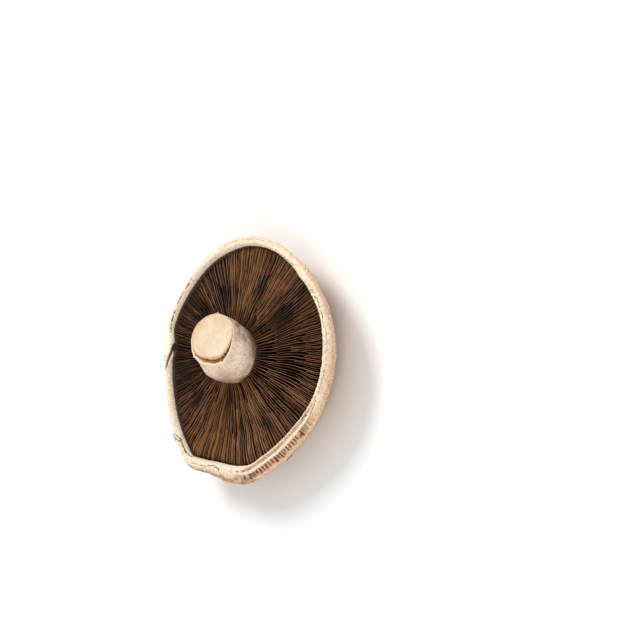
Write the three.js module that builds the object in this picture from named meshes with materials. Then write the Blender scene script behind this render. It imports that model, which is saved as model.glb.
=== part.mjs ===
// A large open portobello mushroom as picked, lying cap down on a table: the domed cap
// rests on its crown, and the gills and the short cut stem look up.
// Millimetres, +Z up. The origin is the centre of the bounding box at the table's height.
import * as THREE from 'three';
import { mergeVertices } from 'three/addons/utils/BufferGeometryUtils.js';

// Driving dimensions -------------------------------------------------------------------

// Cap: outermost radius at equal steps of angle from +X, and the rounded rim's half width.
const CAP_RADII = [
  59.1, 61.8, 62.1, 60.5, 60.5, 56.7, 55.2, 56.8, 60.1,
  59.6, 59.1, 57.4, 57.4, 59.3, 59.6, 58.6, 56.9, 57.0,
];
const RIM_HALF_WIDTHS = [2.2, 3.2, 1.8, 2.4, 2.2, 3.0, 5.0, 4.2, 3.4, 2.4, 2.2, 2.6];
const CROWN_FLAT_RADIUS = 24;
const CREST_HEIGHT = 24;
const EDGE_DROP = 3.2;
const EDGE_DROP_EXTRA = 4.5;
const EDGE_DROP_ANGLE = THREE.MathUtils.degToRad(205);
const LIP_WIDTH = 2.0;
const LIP_DROP = 2.6;
const FLESH_HEIGHT = 13.5;
const FLOOR_MARGIN = 10;
const CAP_STEPS = 72;

// The cap's curves: how far their control points reach, and how many steps each is cut into.
const CROWN_REACH = 18;
const CROWN_RISE = 1;
const EDGE_INSET = 1.5;
const EDGE_RISE_SHARE = 0.7;
const WALL_UNDERCUT = 0.4;
const WALL_REACH = 4;
const FLOOR_REACH = 3;
const CURVE_STEPS = { dome: 9, shoulder: 4, inner: 3, wall: 4 };

// Gills: blade edges stand GILL_EDGE_HEIGHT above the table and dip a little midway.
const GILL_PLEATS = 90;
const GILL_DEPTH = 5;
const GILL_EDGE_HEIGHT = 20.6;
const GILL_DISH = 0.7;
const GILL_BORE = 14.6;
const GILL_EDGE_SHARES = [1, 0.75, 0.5, 0.25, 0];
const CLEARANCE = 0.35;

// Stem: centre line from the flesh to the cut end, radius along it, and the slanted cut.
const STEM_STATIONS = [
  { at: [0.6, 7.6, FLESH_HEIGHT + CLEARANCE], radius: 13.4 },
  { at: [0.6, 7.4, 19], radius: 13.9 },
  { at: [1.4, 7.2, 24], radius: 14.5 },
  { at: [3.4, 6.9, 29], radius: 13.6 },
  { at: [5.4, 6.8, 33.5], radius: 12.0 },
  { at: [6.9, 6.6, 38.5], radius: 11.0 },
];
const STEM_STEPS = 40;
const STEM_RINGS = 14;
const STEM_FOOT_SHARE = 0.12;
const CUT_SLANT = THREE.MathUtils.degToRad(20);
const CUT_EDGE_ROUND = 0.8;
const CUT_SHARE = 1.02;

// Shared helpers -----------------------------------------------------------------------

const FULL_TURN = 2 * Math.PI;
const MERGE_DISTANCE = 1e-3;

/** A value that changes smoothly once round, given at equal steps of angle from +X. */
function around(values) {
  const points = values.map((value) => new THREE.Vector3(value, 0, 0));
  const curve = new THREE.CatmullRomCurve3(points, true, 'catmullrom', 0.5);
  return (angle) => curve.getPoint(THREE.MathUtils.euclideanModulo(angle / FULL_TURN, 1)).x;
}

/** Leaves out the triangles that have shrunk to a line where a lathe meets its axis. */
function withoutFlatTriangles(geometry) {
  const corners = geometry.index.array;
  const kept = [];
  for (let i = 0; i < corners.length; i += 3) {
    const [a, b, c] = corners.slice(i, i + 3);
    if (a !== b && b !== c && c !== a) {
      kept.push(a, b, c);
    }
  }
  geometry.setIndex(kept);
  return geometry;
}

/**
 * Lathes a profile once round and then puts each of its points where place says, so that
 * the piece need not be round. profileAt gives the profile at one angle.
 */
function turned(profileAt, steps, place) {
  const lathe = new THREE.LatheGeometry(profileAt(0), steps);
  const position = lathe.getAttribute('position');
  const profiles = [];
  for (let step = 0; step < steps; step += 1) {
    profiles.push(profileAt((step / steps) * FULL_TURN, step));
  }
  const perColumn = profiles[0].length;
  for (let i = 0; i < position.count; i += 1) {
    const step = Math.floor(i / perColumn) % steps;
    const point = place((step / steps) * FULL_TURN, profiles[step][i % perColumn]);
    position.setXYZ(i, point.x, point.y, point.z);
  }
  lathe.deleteAttribute('normal');
  lathe.deleteAttribute('uv');
  const solid = withoutFlatTriangles(mergeVertices(lathe, MERGE_DISTANCE));
  solid.computeVertexNormals();
  return solid;
}

/** The point at a radius, an angle and a height. */
function polar(angle, radius, height) {
  return new THREE.Vector3(radius * Math.cos(angle), radius * Math.sin(angle), height);
}

/** A named mesh with a plain material. */
function piece(name, geometry, colour, roughness) {
  const material = new THREE.MeshStandardMaterial({ color: colour, roughness, metalness: 0 });
  const mesh = new THREE.Mesh(geometry, material);
  mesh.name = name;
  return mesh;
}

// Cap ----------------------------------------------------------------------------------

const capRadius = around(CAP_RADII);
const rimHalfWidth = around(RIM_HALF_WIDTHS);

/** How far the cap's widest line lies below the rim's crest. */
function edgeDrop(angle) {
  const share = 0.5 + 0.5 * Math.cos(angle - EDGE_DROP_ANGLE);
  return EDGE_DROP + EDGE_DROP_EXTRA * share ** 3;
}

/** The radius where the rim's inner lip meets the outer ends of the gills. */
function lipRadius(angle) {
  return capRadius(angle) - rimHalfWidth(angle) - LIP_WIDTH;
}

/** Half section of the cap at one angle, from the crown's centre round the rim to the flesh. */
function capProfile(angle) {
  const radius = capRadius(angle);
  const half = rimHalfWidth(angle);
  const widest = CREST_HEIGHT - edgeDrop(angle);
  const lip = lipRadius(angle);
  const dome = new THREE.CubicBezierCurve(
    new THREE.Vector2(CROWN_FLAT_RADIUS, 0),
    new THREE.Vector2(CROWN_FLAT_RADIUS + CROWN_REACH, CROWN_RISE),
    new THREE.Vector2(radius - EDGE_INSET, EDGE_RISE_SHARE * widest),
    new THREE.Vector2(radius, widest),
  );
  const shoulder = new THREE.EllipseCurve(
    radius - half, widest, half, CREST_HEIGHT - widest, 0, Math.PI / 2,
  );
  const inner = new THREE.EllipseCurve(
    radius - half, CREST_HEIGHT - LIP_DROP, LIP_WIDTH, LIP_DROP, Math.PI / 2, Math.PI,
  );
  const wall = new THREE.CubicBezierCurve(
    new THREE.Vector2(lip, CREST_HEIGHT - LIP_DROP),
    new THREE.Vector2(lip - WALL_UNDERCUT, CREST_HEIGHT - LIP_DROP - WALL_REACH),
    new THREE.Vector2(radius - FLOOR_MARGIN + FLOOR_REACH, FLESH_HEIGHT),
    new THREE.Vector2(radius - FLOOR_MARGIN, FLESH_HEIGHT),
  );
  return [
    new THREE.Vector2(0, 0),
    ...dome.getPoints(CURVE_STEPS.dome),
    ...shoulder.getPoints(CURVE_STEPS.shoulder).slice(1),
    ...inner.getPoints(CURVE_STEPS.inner).slice(1),
    ...wall.getPoints(CURVE_STEPS.wall).slice(1),
    new THREE.Vector2(0, FLESH_HEIGHT),
  ];
}

/** The domed cap with its rolled rim and the hollow that the gills hang from. */
function makeCap() {
  const place = (angle, point) => polar(angle, point.x, point.y);
  return piece('cap', turned(capProfile, CAP_STEPS, place), 0x9a6a3f, 0.75);
}

// Stem ---------------------------------------------------------------------------------

const stemLine = new THREE.CatmullRomCurve3(
  STEM_STATIONS.map((station) => new THREE.Vector3(...station.at)),
);
const stemRadii = new THREE.SplineCurve(
  STEM_STATIONS.map((station, i) => new THREE.Vector2(i, station.radius)),
);

/** The stem's profile: its radius, and its share of the way up, where above 1 is the cut. */
function stemProfile() {
  const rings = stemRadii.getPoints(STEM_RINGS);
  const side = rings.map((ring, i) => new THREE.Vector2(ring.y, i / STEM_RINGS));
  const top = side.at(-1).x - CUT_EDGE_ROUND;
  return [
    new THREE.Vector2(0, 0),
    ...side,
    new THREE.Vector2(top, CUT_SHARE),
    new THREE.Vector2(0, CUT_SHARE),
  ];
}

/** The point of the stem at an angle, a radius and a share of the way up. */
function stemPoint(angle, point) {
  const share = Math.min(point.y, 1);
  const centre = stemLine.getPoint(share);
  const rounding = point.y > 1 ? CUT_EDGE_ROUND : 0;
  const slant = Math.tan(CUT_SLANT) * share ** 3;
  const offset = polar(angle, point.x, rounding);
  offset.z += offset.y * slant;
  return centre.add(offset);
}

/** The short leaning stem with its slanted cut end. */
function makeStem() {
  return piece('stem', turned(stemProfile, STEM_STEPS, stemPoint), 0xd9c3a5, 0.7);
}

// Gills --------------------------------------------------------------------------------

const STEM_FOOT = stemLine.getPoint(STEM_FOOT_SHARE).setZ(0);
const GILL_INNER_RADIUS = GILL_BORE + CLEARANCE;

/**
 * Section of the gill ring at one angle: its share of the way from the stem to the rim,
 * and its height. Every second section is cut down to the floor between two blades.
 */
function gillProfile(angle, step = 0) {
  const span = lipRadius(angle) - GILL_INNER_RADIUS;
  const wallInset = WALL_UNDERCUT + CLEARANCE;
  const under = FLESH_HEIGHT + CLEARANCE;
  const foot = 1 - (FLOOR_MARGIN - rimHalfWidth(angle) - LIP_WIDTH + wallInset) / span;
  const rise = step % 2 === 0 ? 1 : 1 - GILL_DEPTH / (GILL_EDGE_HEIGHT - under);
  const end = THREE.MathUtils.lerp(foot, 1 - wallInset / span, rise);
  const height = THREE.MathUtils.lerp(under, GILL_EDGE_HEIGHT, rise);
  const edge = GILL_EDGE_SHARES.map((share) => {
    const dish = GILL_DISH * Math.sin(Math.PI * share);
    return new THREE.Vector2(share * end, height - dish);
  });
  return [
    new THREE.Vector2(0, under),
    new THREE.Vector2(foot, under),
    ...edge,
    new THREE.Vector2(0, under),
  ];
}

/** The point of the gill ring at a share of the way from the stem's foot to the lip. */
function gillPoint(angle, point) {
  const inner = polar(angle, GILL_INNER_RADIUS, 0).add(STEM_FOOT);
  const outer = polar(angle, lipRadius(angle), 0);
  return inner.lerp(outer, point.x).setZ(point.y);
}

/** The ring of gills: radial pleats, each standing for the blades that share its place. */
function makeGills() {
  return piece('gills', turned(gillProfile, 2 * GILL_PLEATS, gillPoint), 0x4a3225, 0.9);
}

// Mushroom -----------------------------------------------------------------------------

const mushroom = new THREE.Group();
mushroom.add(makeCap(), makeGills(), makeStem());

const bounds = new THREE.Box3().setFromObject(mushroom, true);
const middle = bounds.getCenter(new THREE.Vector3());
mushroom.position.set(-middle.x, -middle.y, -bounds.min.z);

export default mushroom;
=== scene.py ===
"""A large open portobello mushroom as picked, lying cap down: dark gills and a cut stem look up."""

import logging
import math
from dataclasses import dataclass, field
from enum import Enum, IntEnum
from typing import ClassVar, NamedTuple

import bpy
import numpy as np
from mathutils import Matrix, Vector


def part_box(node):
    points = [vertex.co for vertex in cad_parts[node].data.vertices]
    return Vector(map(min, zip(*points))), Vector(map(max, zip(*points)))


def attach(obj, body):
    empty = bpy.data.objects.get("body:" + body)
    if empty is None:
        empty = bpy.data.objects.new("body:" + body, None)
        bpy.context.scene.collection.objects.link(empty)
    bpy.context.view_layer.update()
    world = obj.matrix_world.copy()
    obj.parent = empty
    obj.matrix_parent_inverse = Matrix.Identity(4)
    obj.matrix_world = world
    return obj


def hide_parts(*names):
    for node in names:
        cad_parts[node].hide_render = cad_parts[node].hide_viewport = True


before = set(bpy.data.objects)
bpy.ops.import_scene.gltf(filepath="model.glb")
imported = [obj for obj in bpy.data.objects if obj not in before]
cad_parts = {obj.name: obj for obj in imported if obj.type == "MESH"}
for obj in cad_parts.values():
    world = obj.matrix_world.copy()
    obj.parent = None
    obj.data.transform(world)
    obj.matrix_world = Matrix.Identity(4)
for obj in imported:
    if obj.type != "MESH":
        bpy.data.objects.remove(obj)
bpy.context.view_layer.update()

MM = 0.001
FULL_TURN = 2.0 * math.pi
RIM_RADIUS = 58.0
LOG = logging.getLogger("mushroom")

Array = np.ndarray
Colour = tuple[float, float, float]
Masks = dict[str, Array]
Socket = bpy.types.NodeSocket


class Slot(Enum):
    """The record's material slots."""

    CAP = "cap_skin"
    GILLS = "gill_tissue"
    STEM = "stem_flesh"


# Helpers ------------------------------------------------------------------------------


def paint(red: float, green: float, blue: float) -> Colour:
    """Turns display values from 0 to 255 into linear light.

    Args:
        red: the red display value.
        green: the green display value.
        blue: the blue display value.

    Returns:
        The colour in linear light.
    """
    def linear(value: float) -> float:
        """One channel in linear light."""
        share = value / 255.0
        return share / 12.92 if share <= 0.04045 else ((share + 0.055) / 1.055) ** 2.4

    return (linear(red), linear(green), linear(blue))


def curve_through(p0: Array, p1: Array, p2: Array, p3: Array, share: Array) -> Array:
    """Reads a smooth curve that goes through its four given values, between the middle two.

    Args:
        p0: the value before the stretch.
        p1: the value at its start.
        p2: the value at its end.
        p3: the value after it.
        share: how far along the stretch to read, from 0 to 1.

    Returns:
        The curve's value.
    """
    return 0.5 * (2 * p1 + (p2 - p0) * share + (2 * p0 - 5 * p1 + 4 * p2 - p3) * share**2
                  + (3 * p1 - p0 - 3 * p2 + p3) * share**3)


def around(values: tuple[float, ...], angles: Array) -> Array:
    """Reads a value that changes smoothly once round.

    Args:
        values: the value at equal steps of angle from +X.
        angles: where to read it, in radians.

    Returns:
        The value at each angle.
    """
    table = np.asarray(values, float)
    count = len(table)
    place = (np.asarray(angles) / FULL_TURN * count) % count
    first = np.floor(place).astype(int)
    near = (table[(first + k) % count] for k in (-1, 0, 1, 2))
    return curve_through(*near, place - first)


def bezier(a: Array, b: Array, c: Array, d: Array, t: Array) -> Array:
    """Points of a cubic curve."""
    return (1 - t) ** 3 * a + 3 * (1 - t) ** 2 * t * b + 3 * (1 - t) * t**2 * c + t**3 * d


def smoothstep(low: float, high: float, value: Array) -> Array:
    """A smooth rise from 0 at low to 1 at high, or a fall where high is below low."""
    share = np.clip((value - low) / (high - low), 0.0, 1.0)
    return share * share * (3.0 - 2.0 * share)


def turn_between(angles: Array, degrees: float) -> Array:
    """How far each angle lies from a direction in degrees, from -180 to 180."""
    return (np.degrees(angles) - degrees + 180.0) % 360.0 - 180.0


def bump_at(angles: Array, degrees: float, width: float) -> Array:
    """A smooth hump of height 1 round a direction, with its half width in degrees."""
    return np.exp(-((turn_between(angles, degrees) / width) ** 2))


def stack(*columns: Array) -> Array:
    """Points from their coordinates."""
    return np.stack(columns, -1)


def round_plan(angles: Array) -> Array:
    """Unit vectors in the plan at the given angles."""
    return stack(np.cos(angles), np.sin(angles))


def outward_normals(points: Array) -> Array:
    """Unit vectors that point out of a surface of rings.

    Args:
        points: the surface's points, ring by ring.

    Returns:
        A vector for each point.
    """
    along = np.gradient(points, axis=0)
    across = np.roll(points, -1, axis=1) - np.roll(points, 1, axis=1)
    normals = np.cross(across, along)
    return normals / np.maximum(np.linalg.norm(normals, axis=-1, keepdims=True), 1e-9)


@dataclass(frozen=True)
class Grain:
    """Seeded noise in space that gives the same values on every run."""

    seed: int

    def _random(self, cells: Array, salt: int = 0) -> Array:
        """A value for each whole-numbered cell.

        Args:
            cells: the cells' whole-numbered coordinates.
            salt: tells one set of values from another.

        Returns:
            Values from 0 to 1.
        """
        h = (cells[..., 0] * 374761393 + cells[..., 1] * 668265263
             + cells[..., 2] * 1440662683 + (self.seed * 7 + salt) * 144665)
        h = (h ^ (h >> 13)) * 1274126177
        h = h ^ (h >> 16)
        return (h & 0xFFFFFF) / float(0xFFFFFF)

    def smooth(self, points: Array, size: float) -> Array:
        """Soft noise.

        Args:
            points: where to read it.
            size: about how large its features are.

        Returns:
            Values from 0 to 1.
        """
        scaled = points / size
        base = np.floor(scaled).astype(np.int64)
        f = scaled - base
        w = f * f * (3.0 - 2.0 * f)
        total = np.zeros(points.shape[:-1])
        for corner in np.ndindex(2, 2, 2):
            step = np.array(corner)
            weight = np.prod(np.where(step == 1, w, 1.0 - w), axis=-1)
            total += weight * self._random(base + step)
        return total

    def fractal(self, points: Array, size: float, octaves: int = 4) -> Array:
        """Soft noise with finer and finer detail added.

        Args:
            points: where to read it.
            size: about how large its coarsest features are.
            octaves: how many layers it has, each half the size of the one before.

        Returns:
            Values from 0 to 1.
        """
        total = np.zeros(points.shape[:-1])
        share = 0.5
        for octave in range(octaves):
            total += share * self.smooth(points + 17.3 * octave, size / 2**octave)
            share *= 0.5
        return total / (1.0 - 0.5**octaves)

    def cells(self, points: Array, size: float) -> tuple[Array, Array, Array]:
        """Random cells.

        Args:
            points: where to read them.
            size: about how large a cell is.

        Returns:
            The distance to the nearest centre, the distance to the cell's border, and the cell's value.
        """
        scaled = points / size
        base = np.floor(scaled).astype(np.int64)
        nearest = np.full(points.shape[:-1], 9.0)
        second = np.full(points.shape[:-1], 9.0)
        value = np.zeros(points.shape[:-1])
        for corner in np.ndindex(3, 3, 3):
            cell = base + np.array(corner) - 1
            centre = stack(*(self._random(cell, salt) for salt in (1, 2, 3))) + cell
            distance = np.linalg.norm(scaled - centre, axis=-1)
            closer = distance < nearest
            second = np.where(closer, nearest, np.minimum(second, distance))
            value = np.where(closer, self._random(cell, 4), value)
            nearest = np.where(closer, distance, nearest)
        return nearest, second - nearest, value


def make_object(name: str, points: Array, faces: list[list[int]], masks: Masks) -> bpy.types.Object:
    """Makes a smooth mesh object with one number a point for each mask.

    Args:
        name: the piece's name.
        points: the points in millimetres.
        faces: the faces, as lists of point numbers.
        masks: named values, one for each point.

    Returns:
        The object, in metres.
    """
    mesh = bpy.data.meshes.new(name)
    mesh.from_pydata((points * MM).tolist(), [], faces)
    mesh.validate()
    mesh.polygons.foreach_set("use_smooth", np.ones(len(mesh.polygons), bool))
    for label, values in masks.items():
        layer = mesh.attributes.new(label, "FLOAT", "POINT")
        layer.data.foreach_set("value", np.ascontiguousarray(values, np.float32))
    mesh.update()
    piece = bpy.data.objects.new(name, mesh)
    bpy.context.scene.collection.objects.link(piece)
    LOG.info("%s: %d points, %d faces", name, len(points), len(faces))
    return piece


def ring_faces(lower: Array, upper: Array) -> list[list[int]]:
    """Joins two rings of points, where one may have twice as many points as the other.

    Args:
        lower: point numbers of the first ring.
        upper: point numbers of the ring after it.

    Returns:
        Faces that all turn the same way.
    """
    if len(lower) == len(upper):
        return stack(lower, np.roll(lower, -1), np.roll(upper, -1), upper).tolist()
    if len(upper) > len(lower):
        after, mid, last = np.roll(lower, -1), upper[1::2], np.roll(upper[::2], -1)
        return (stack(lower, mid, upper[::2]).tolist() + stack(lower, after, mid).tolist()
                + stack(after, last, mid).tolist())
    return [face[::-1] for face in ring_faces(upper, lower)]


def close_rings(rings: list[Array], masks: dict[str, list[Array]]) -> tuple[Array, list[list[int]], Masks]:
    """Joins rings into a closed skin. The first and the last ring hold one point each.

    Args:
        rings: the rings' points.
        masks: the masks' values, ring by ring.

    Returns:
        Points, faces and masks for make_object.
    """
    starts = np.cumsum([0] + [len(ring) for ring in rings])
    numbers = [np.arange(starts[i], starts[i + 1]) for i in range(len(rings))]
    first, last = numbers[1], numbers[-2]
    faces = [[0, b, a] for a, b in zip(first.tolist(), np.roll(first, -1).tolist())]
    for lower, upper in zip(numbers[1:-2], numbers[2:-1]):
        faces += ring_faces(lower, upper)
    end = int(numbers[-1][0])
    faces += [[a, b, end] for a, b in zip(last.tolist(), np.roll(last, -1).tolist())]
    joined = {label: np.concatenate(values) for label, values in masks.items()}
    return np.concatenate(rings), faces, joined


# Materials ----------------------------------------------------------------------------


class Board:
    """Builds one material from nodes. Sizes are in millimetres."""

    def __init__(self, name: str) -> None:
        """Starts a material with its shader and a millimetre coordinate.

        Args:
            name: the material's name.
        """
        self.material = bpy.data.materials.new(name)
        self.material.use_nodes = True
        self.tree = self.material.node_tree
        self.shader = self.tree.nodes["Principled BSDF"]
        self.coordinate = self.add("ShaderNodeTexCoord").outputs["Object"]

    def add(self, kind: str, **settings: object) -> bpy.types.Node:
        """Adds a node.

        Args:
            kind: the node's type.
            settings: its plain settings.

        Returns:
            The node.
        """
        node = self.tree.nodes.new(kind)
        for label, value in settings.items():
            setattr(node, label, value)
        return node

    def put(self, socket: Socket, value: object) -> None:
        """Links a socket to a socket, or sets a number or a colour on it.

        Args:
            socket: the input socket.
            value: an output socket, a number or a colour.
        """
        if isinstance(value, Socket):
            self.tree.links.new(value, socket)
        elif isinstance(value, tuple) and len(value) == 3 and len(socket.default_value) == 4:
            socket.default_value = (*value, 1.0)
        else:
            socket.default_value = value

    def mask(self, label: str) -> Socket:
        """The value of one of the mesh's masks."""
        return self.add("ShaderNodeAttribute", attribute_name=label).outputs["Fac"]

    def noise(self, size: float, detail: float = 3.0, stretch: Colour = (1, 1, 1),
              rough: float = 0.55, warp: float = 0.0) -> Socket:
        """Soft noise in space.

        Args:
            size: about how large its features are.
            detail: how many finer layers it has.
            stretch: scale along each axis.
            rough: how strong the finer layers are.
            warp: how far it is bent.

        Returns:
            Values from 0 to 1.
        """
        place = self.add("ShaderNodeMapping")
        place.inputs["Scale"].default_value = [s / (size * MM) for s in stretch]
        self.put(place.inputs["Vector"], self.coordinate)
        node = self.add("ShaderNodeTexNoise")
        self.put(node.inputs["Vector"], place.outputs["Vector"])
        for label, value in (("Scale", 1.0), ("Detail", detail), ("Roughness", rough), ("Distortion", warp)):
            node.inputs[label].default_value = value
        return node.outputs["Fac"]

    def rise(self, value: Socket, low: float, high: float) -> Socket:
        """Spreads a value, with smooth ends.

        Args:
            value: the value.
            low: where the result is 0.
            high: where the result is 1.

        Returns:
            The spread value.
        """
        node = self.add("ShaderNodeMapRange", interpolation_type="SMOOTHSTEP", clamp=True)
        self.put(node.inputs["Value"], value)
        node.inputs["From Min"].default_value = low
        node.inputs["From Max"].default_value = high
        return node.outputs["Result"]

    def math(self, way: str, a: object, b: object = 0.0) -> Socket:
        """Joins two values.

        Args:
            way: the node's operation, such as ADD.
            a: the first value or its socket.
            b: the second value or its socket.

        Returns:
            The result.
        """
        node = self.add("ShaderNodeMath", operation=way)
        self.put(node.inputs[0], a)
        self.put(node.inputs[1], b)
        return node.outputs[0]

    def times(self, a: object, b: object) -> Socket:
        """The product of two values."""
        return self.math("MULTIPLY", a, b)

    def blend(self, share: object, a: object, b: object) -> Socket:
        """Mixes two colours.

        Args:
            share: how much of the second colour shows.
            a: the first colour or its socket.
            b: the second colour or its socket.

        Returns:
            The mixed colour.
        """
        node = self.add("ShaderNodeMix", data_type="RGBA")
        self.put(node.inputs[0], share)
        self.put(node.inputs[6], a)
        self.put(node.inputs[7], b)
        return node.outputs[2]

    def coat(self, colour: object, over: object, share: Socket, weight: float) -> Socket:
        """Lays one colour over another, where a share says and never more than a weight."""
        return self.blend(self.times(share, weight), colour, over)

    def bumps(self, *layers: tuple[Socket, float]) -> None:
        """Adds fine relief.

        Args:
            layers: a height from 0 to 1 and its depth in millimetres, for each layer.
        """
        normal = None
        for height, depth in layers:
            node = self.add("ShaderNodeBump")
            node.inputs["Distance"].default_value = depth * MM
            self.put(node.inputs["Height"], height)
            if normal is not None:
                self.put(node.inputs["Normal"], normal)
            normal = node.outputs["Normal"]
        self.put(self.shader.inputs["Normal"], normal)

    def finish(self, colour: object, roughness: object, flesh: float = 0.0,
               gloss: float = 0.35) -> bpy.types.Material:
        """Sets the shader's own sockets and gives the material.

        Args:
            colour: base colour or its socket.
            roughness: roughness or its socket.
            flesh: how much light passes under the surface.
            gloss: specular level.

        Returns:
            The finished material.
        """
        self.put(self.shader.inputs["Base Color"], colour)
        self.put(self.shader.inputs["Roughness"], roughness)
        self.shader.inputs["Specular IOR Level"].default_value = gloss
        if flesh > 0.0:
            self.shader.inputs["Subsurface Weight"].default_value = flesh
            self.shader.inputs["Subsurface Radius"].default_value = (1.0, 0.6, 0.35)
            self.shader.inputs["Subsurface Scale"].default_value = 1.4 * MM
        return self.material


@dataclass(frozen=True)
class CapFinish:
    """Dry brown skin with golden patches, pale cracks and scales, and a cream rim."""

    skin: Colour = paint(176, 126, 78)
    golden: Colour = paint(205, 143, 80)
    grey: Colour = paint(168, 128, 92)
    dark: Colour = paint(92, 58, 30)
    crack: Colour = paint(226, 198, 156)
    cream: Colour = paint(250, 228, 202)
    pale: Colour = paint(252, 242, 220)
    olive: Colour = paint(168, 134, 88)
    toast: Colour = paint(240, 198, 160)
    mark: Colour = paint(88, 54, 32)
    tan: Colour = paint(202, 162, 122)
    lip: Colour = paint(246, 228, 202)
    brown: Colour = paint(116, 68, 32)
    blush: Colour = paint(232, 196, 168)
    grime: Colour = paint(150, 116, 82)
    # Painted shade: the wall beneath the lip is painted near black where the lip's curl shades it.
    under: Colour = paint(46, 30, 22)

    def make(self) -> bpy.types.Material:
        """Builds the material from the cap's masks and fine noise.

        Returns:
            The cap's material.
        """
        board = Board("cap_skin")
        arc = board.mask("arc")
        patches = board.noise(16.0, 3.0, warp=0.6)
        fine = board.noise(0.9, 4.0, rough=0.65)
        felt = board.noise(0.28, 3.0, rough=0.7)
        colour = self.dome(board, arc, patches, fine)
        mottle = board.noise(1.4, 4.0, rough=0.6)
        colour = self.rim(board, arc, mottle, colour)
        # The last layer, under, is painted shade on the wall beneath the lip.
        for label, over in (("pale", self.pale), ("rib", self.brown), ("groove", self.mark),
                            ("under", self.under)):
            colour = board.blend(board.mask(label), colour, over)
        board.bumps((mottle, 0.35), (fine, 0.25), (felt, 0.1))
        return board.finish(colour, board.math("ADD", board.times(fine, 0.3), 0.5), flesh=0.12)

    def dome(self, board: Board, arc: Socket, patches: Socket, fine: Socket) -> Socket:
        """The dome's colour, with the change to cream that leads to the rim.

        Args:
            board: the material.
            arc: distance from the rim's crest.
            patches: broad noise.
            fine: fine noise.

        Returns:
            The colour.
        """
        colour = board.blend(board.rise(patches, 0.42, 0.62), self.skin, self.golden)
        colour = board.blend(board.rise(board.noise(22.0, 2.0), 0.5, 0.66), colour, self.grey)
        colour = board.coat(colour, self.dark, board.rise(fine, 0.5, 0.7), 0.45)
        scales = board.times(board.mask("crack"), board.rise(fine, 0.25, 0.55))
        colour = board.blend(scales, colour, self.crack)
        colour = board.blend(board.mask("pit"), colour, self.dark)
        edge = board.math("ADD", arc, board.times(board.math("SUBTRACT", patches, 0.5), 9.0))
        colour = board.coat(colour, self.tan, board.rise(edge, 12.0, 6.5), 0.9)
        return board.blend(board.rise(edge, 7.0, 2.5), colour, self.cream)

    def rim(self, board: Board, arc: Socket, mottle: Socket, colour: Socket) -> Socket:
        """The rim's blush, toasted edge, cream band, valley and fine mottling.

        Args:
            board: the material.
            arc: distance from the rim's crest.
            mottle: medium noise.
            colour: the colour so far.

        Returns:
            The colour.
        """
        rim = board.rise(arc, 12.0, 7.0)
        blush = board.times(board.rise(board.noise(5.0, 3.0), 0.46, 0.62), rim)
        colour = board.coat(colour, self.blush, blush, 0.6)
        colour = board.blend(board.mask("thick"), colour, self.toast)
        colour = board.blend(board.mask("band"), colour, self.lip)
        colour = board.coat(colour, self.olive, board.mask("valley"), 0.85)
        dirt = board.times(board.rise(mottle, 0.5, 0.64), rim)
        colour = board.coat(colour, self.tan, dirt, 0.4)
        bright = board.times(board.rise(board.noise(1.1, 3.0), 0.52, 0.64), rim)
        colour = board.coat(colour, self.pale, bright, 0.55)
        grime = board.times(board.rise(board.noise(0.75, 2.0), 0.57, 0.67), rim)
        return board.coat(colour, self.grime, grime, 0.55)


@dataclass(frozen=True)
class GillFinish:
    """Thin dark brown blades: painted shade darkens them down towards their roots, and a painted highlight
    makes their free edges paler.
    """

    deep: Colour = paint(20, 12, 9)
    flank: Colour = paint(52, 31, 20)
    edge: Colour = paint(162, 108, 70)
    warm: Colour = paint(132, 86, 44)
    pale: Colour = paint(174, 124, 80)
    bruise: Colour = paint(40, 27, 23)

    def make(self) -> bpy.types.Material:
        """Builds the material from the blades' masks and fine noise.

        Returns:
            The gills' material.
        """
        board = Board("gill_tissue")
        up = board.mask("up")
        tone_and_shade = board.mask("tone_and_shade")
        fine = board.noise(0.8, 4.0, rough=0.7)
        # Painted shade and highlight: darkest at the blades' roots, where shade falls between them, and
        # palest along their free edges, where light falls.
        colour = board.blend(board.rise(up, 0.7, 0.92), self.deep, self.flank)
        colour = board.blend(board.rise(up, 0.9, 0.99), colour, self.edge)
        colour = board.coat(colour, self.warm, board.times(board.mask("warm"), up), 0.7)
        # Darker blades: their own random tone, together with the painted shade towards the sides that this
        # mask carries.
        colour = board.coat(colour, self.deep, board.rise(tone_and_shade, 0.5, 0.25), 0.75)
        # Lighter blades, palest up at their edges: their own tone, with a painted highlight.
        light = board.times(board.rise(tone_and_shade, 0.52, 0.8), up)
        colour = board.coat(colour, self.pale, light, 0.7)
        colour = board.coat(colour, self.bruise, board.mask("bruise"), 0.85)
        colour = board.coat(colour, self.deep, board.rise(fine, 0.45, 0.75), 0.3)
        board.bumps((fine, 0.08))
        return board.finish(colour, 0.72, gloss=0.3)


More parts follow.
